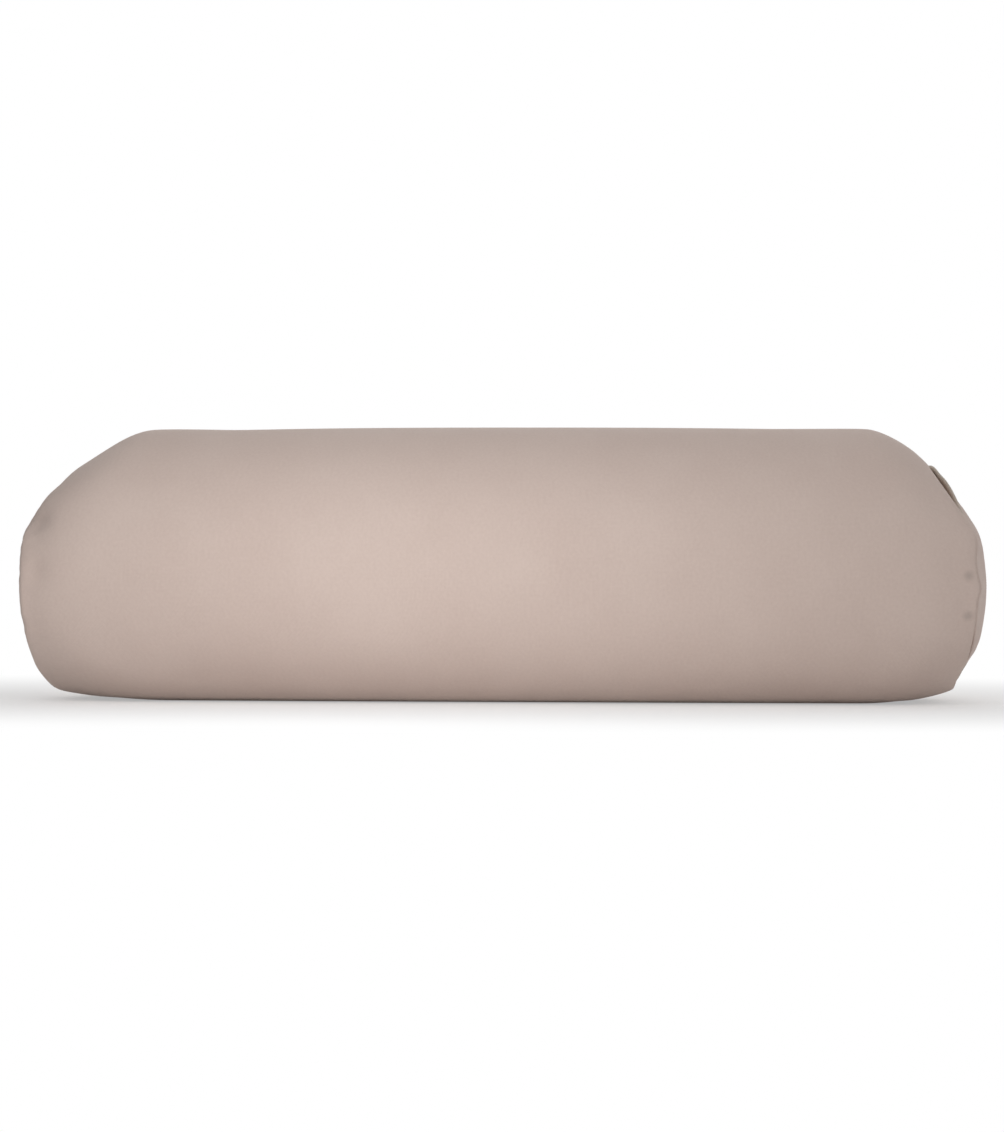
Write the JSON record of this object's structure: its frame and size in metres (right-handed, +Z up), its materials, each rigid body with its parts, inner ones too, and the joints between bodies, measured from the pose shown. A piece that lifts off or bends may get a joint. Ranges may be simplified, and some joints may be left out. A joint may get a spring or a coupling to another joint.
{
  "type": "yoga bolster",
  "caption": "Round yoga bolster: a husk-filled cushion in a zipped cotton cover, with a webbing carrying strap over one end.",
  "frame": {"origin": "middle of the underside, on the floor", "axes": "+X along the bolster towards the end with the strap, +Y towards the back, where the zip is, +Z up"},
  "size_m": [0.6716, 0.2119, 0.19],
  "materials": {
    "cover_fabric": "plain woven cotton, matt",
    "strap_webbing": "cotton webbing, matt",
    "zip_tape": "woven tape, matt",
    "zip_coil": "nylon filament, satin",
    "zip_metal": "satin",
    "sack_fabric": "unbleached cotton, matt",
    "husk_filling": "loose grain husks"
  },
  "bodies": {
    "bolster": {"cover_body": "cover_fabric", "cover_end_right": "cover_fabric", "cover_end_left": "cover_fabric", "handle_strap": "strap_webbing", "zip_tape_upper": "zip_tape", "zip_tape_lower": "zip_tape", "zip_coil_upper": "zip_coil", "zip_coil_lower": "zip_coil", "zip_top_stop_upper": "zip_metal", "zip_top_stop_lower": "zip_metal", "zip_bottom_stop": "zip_metal", "inner_sack_body": "sack_fabric", "inner_sack_end_right": "sack_fabric", "inner_sack_end_left": "sack_fabric", "filling": "husk_filling"},
    "slider": {"zip_slider": "zip_metal"},
    "pull_tab": {"zip_pull_tab": "zip_metal"}
  },
  "joints": [
    {"name": "zip_slide", "type": "slide", "parent": "bolster", "child": "slider", "axis": [-1, 0, 0], "range_m": [0, 0.385], "deforming": ["zip_tape_upper", "zip_tape_lower", "zip_coil_upper", "zip_coil_lower"]},
    {"name": "pull_tab_hinge", "type": "hinge", "parent": "slider", "child": "pull_tab", "pos_m": [0.192, 0.10365, 0.11328], "axis": [0, 0.1736, -0.9848], "range_deg": [0, 180]}
  ]
}
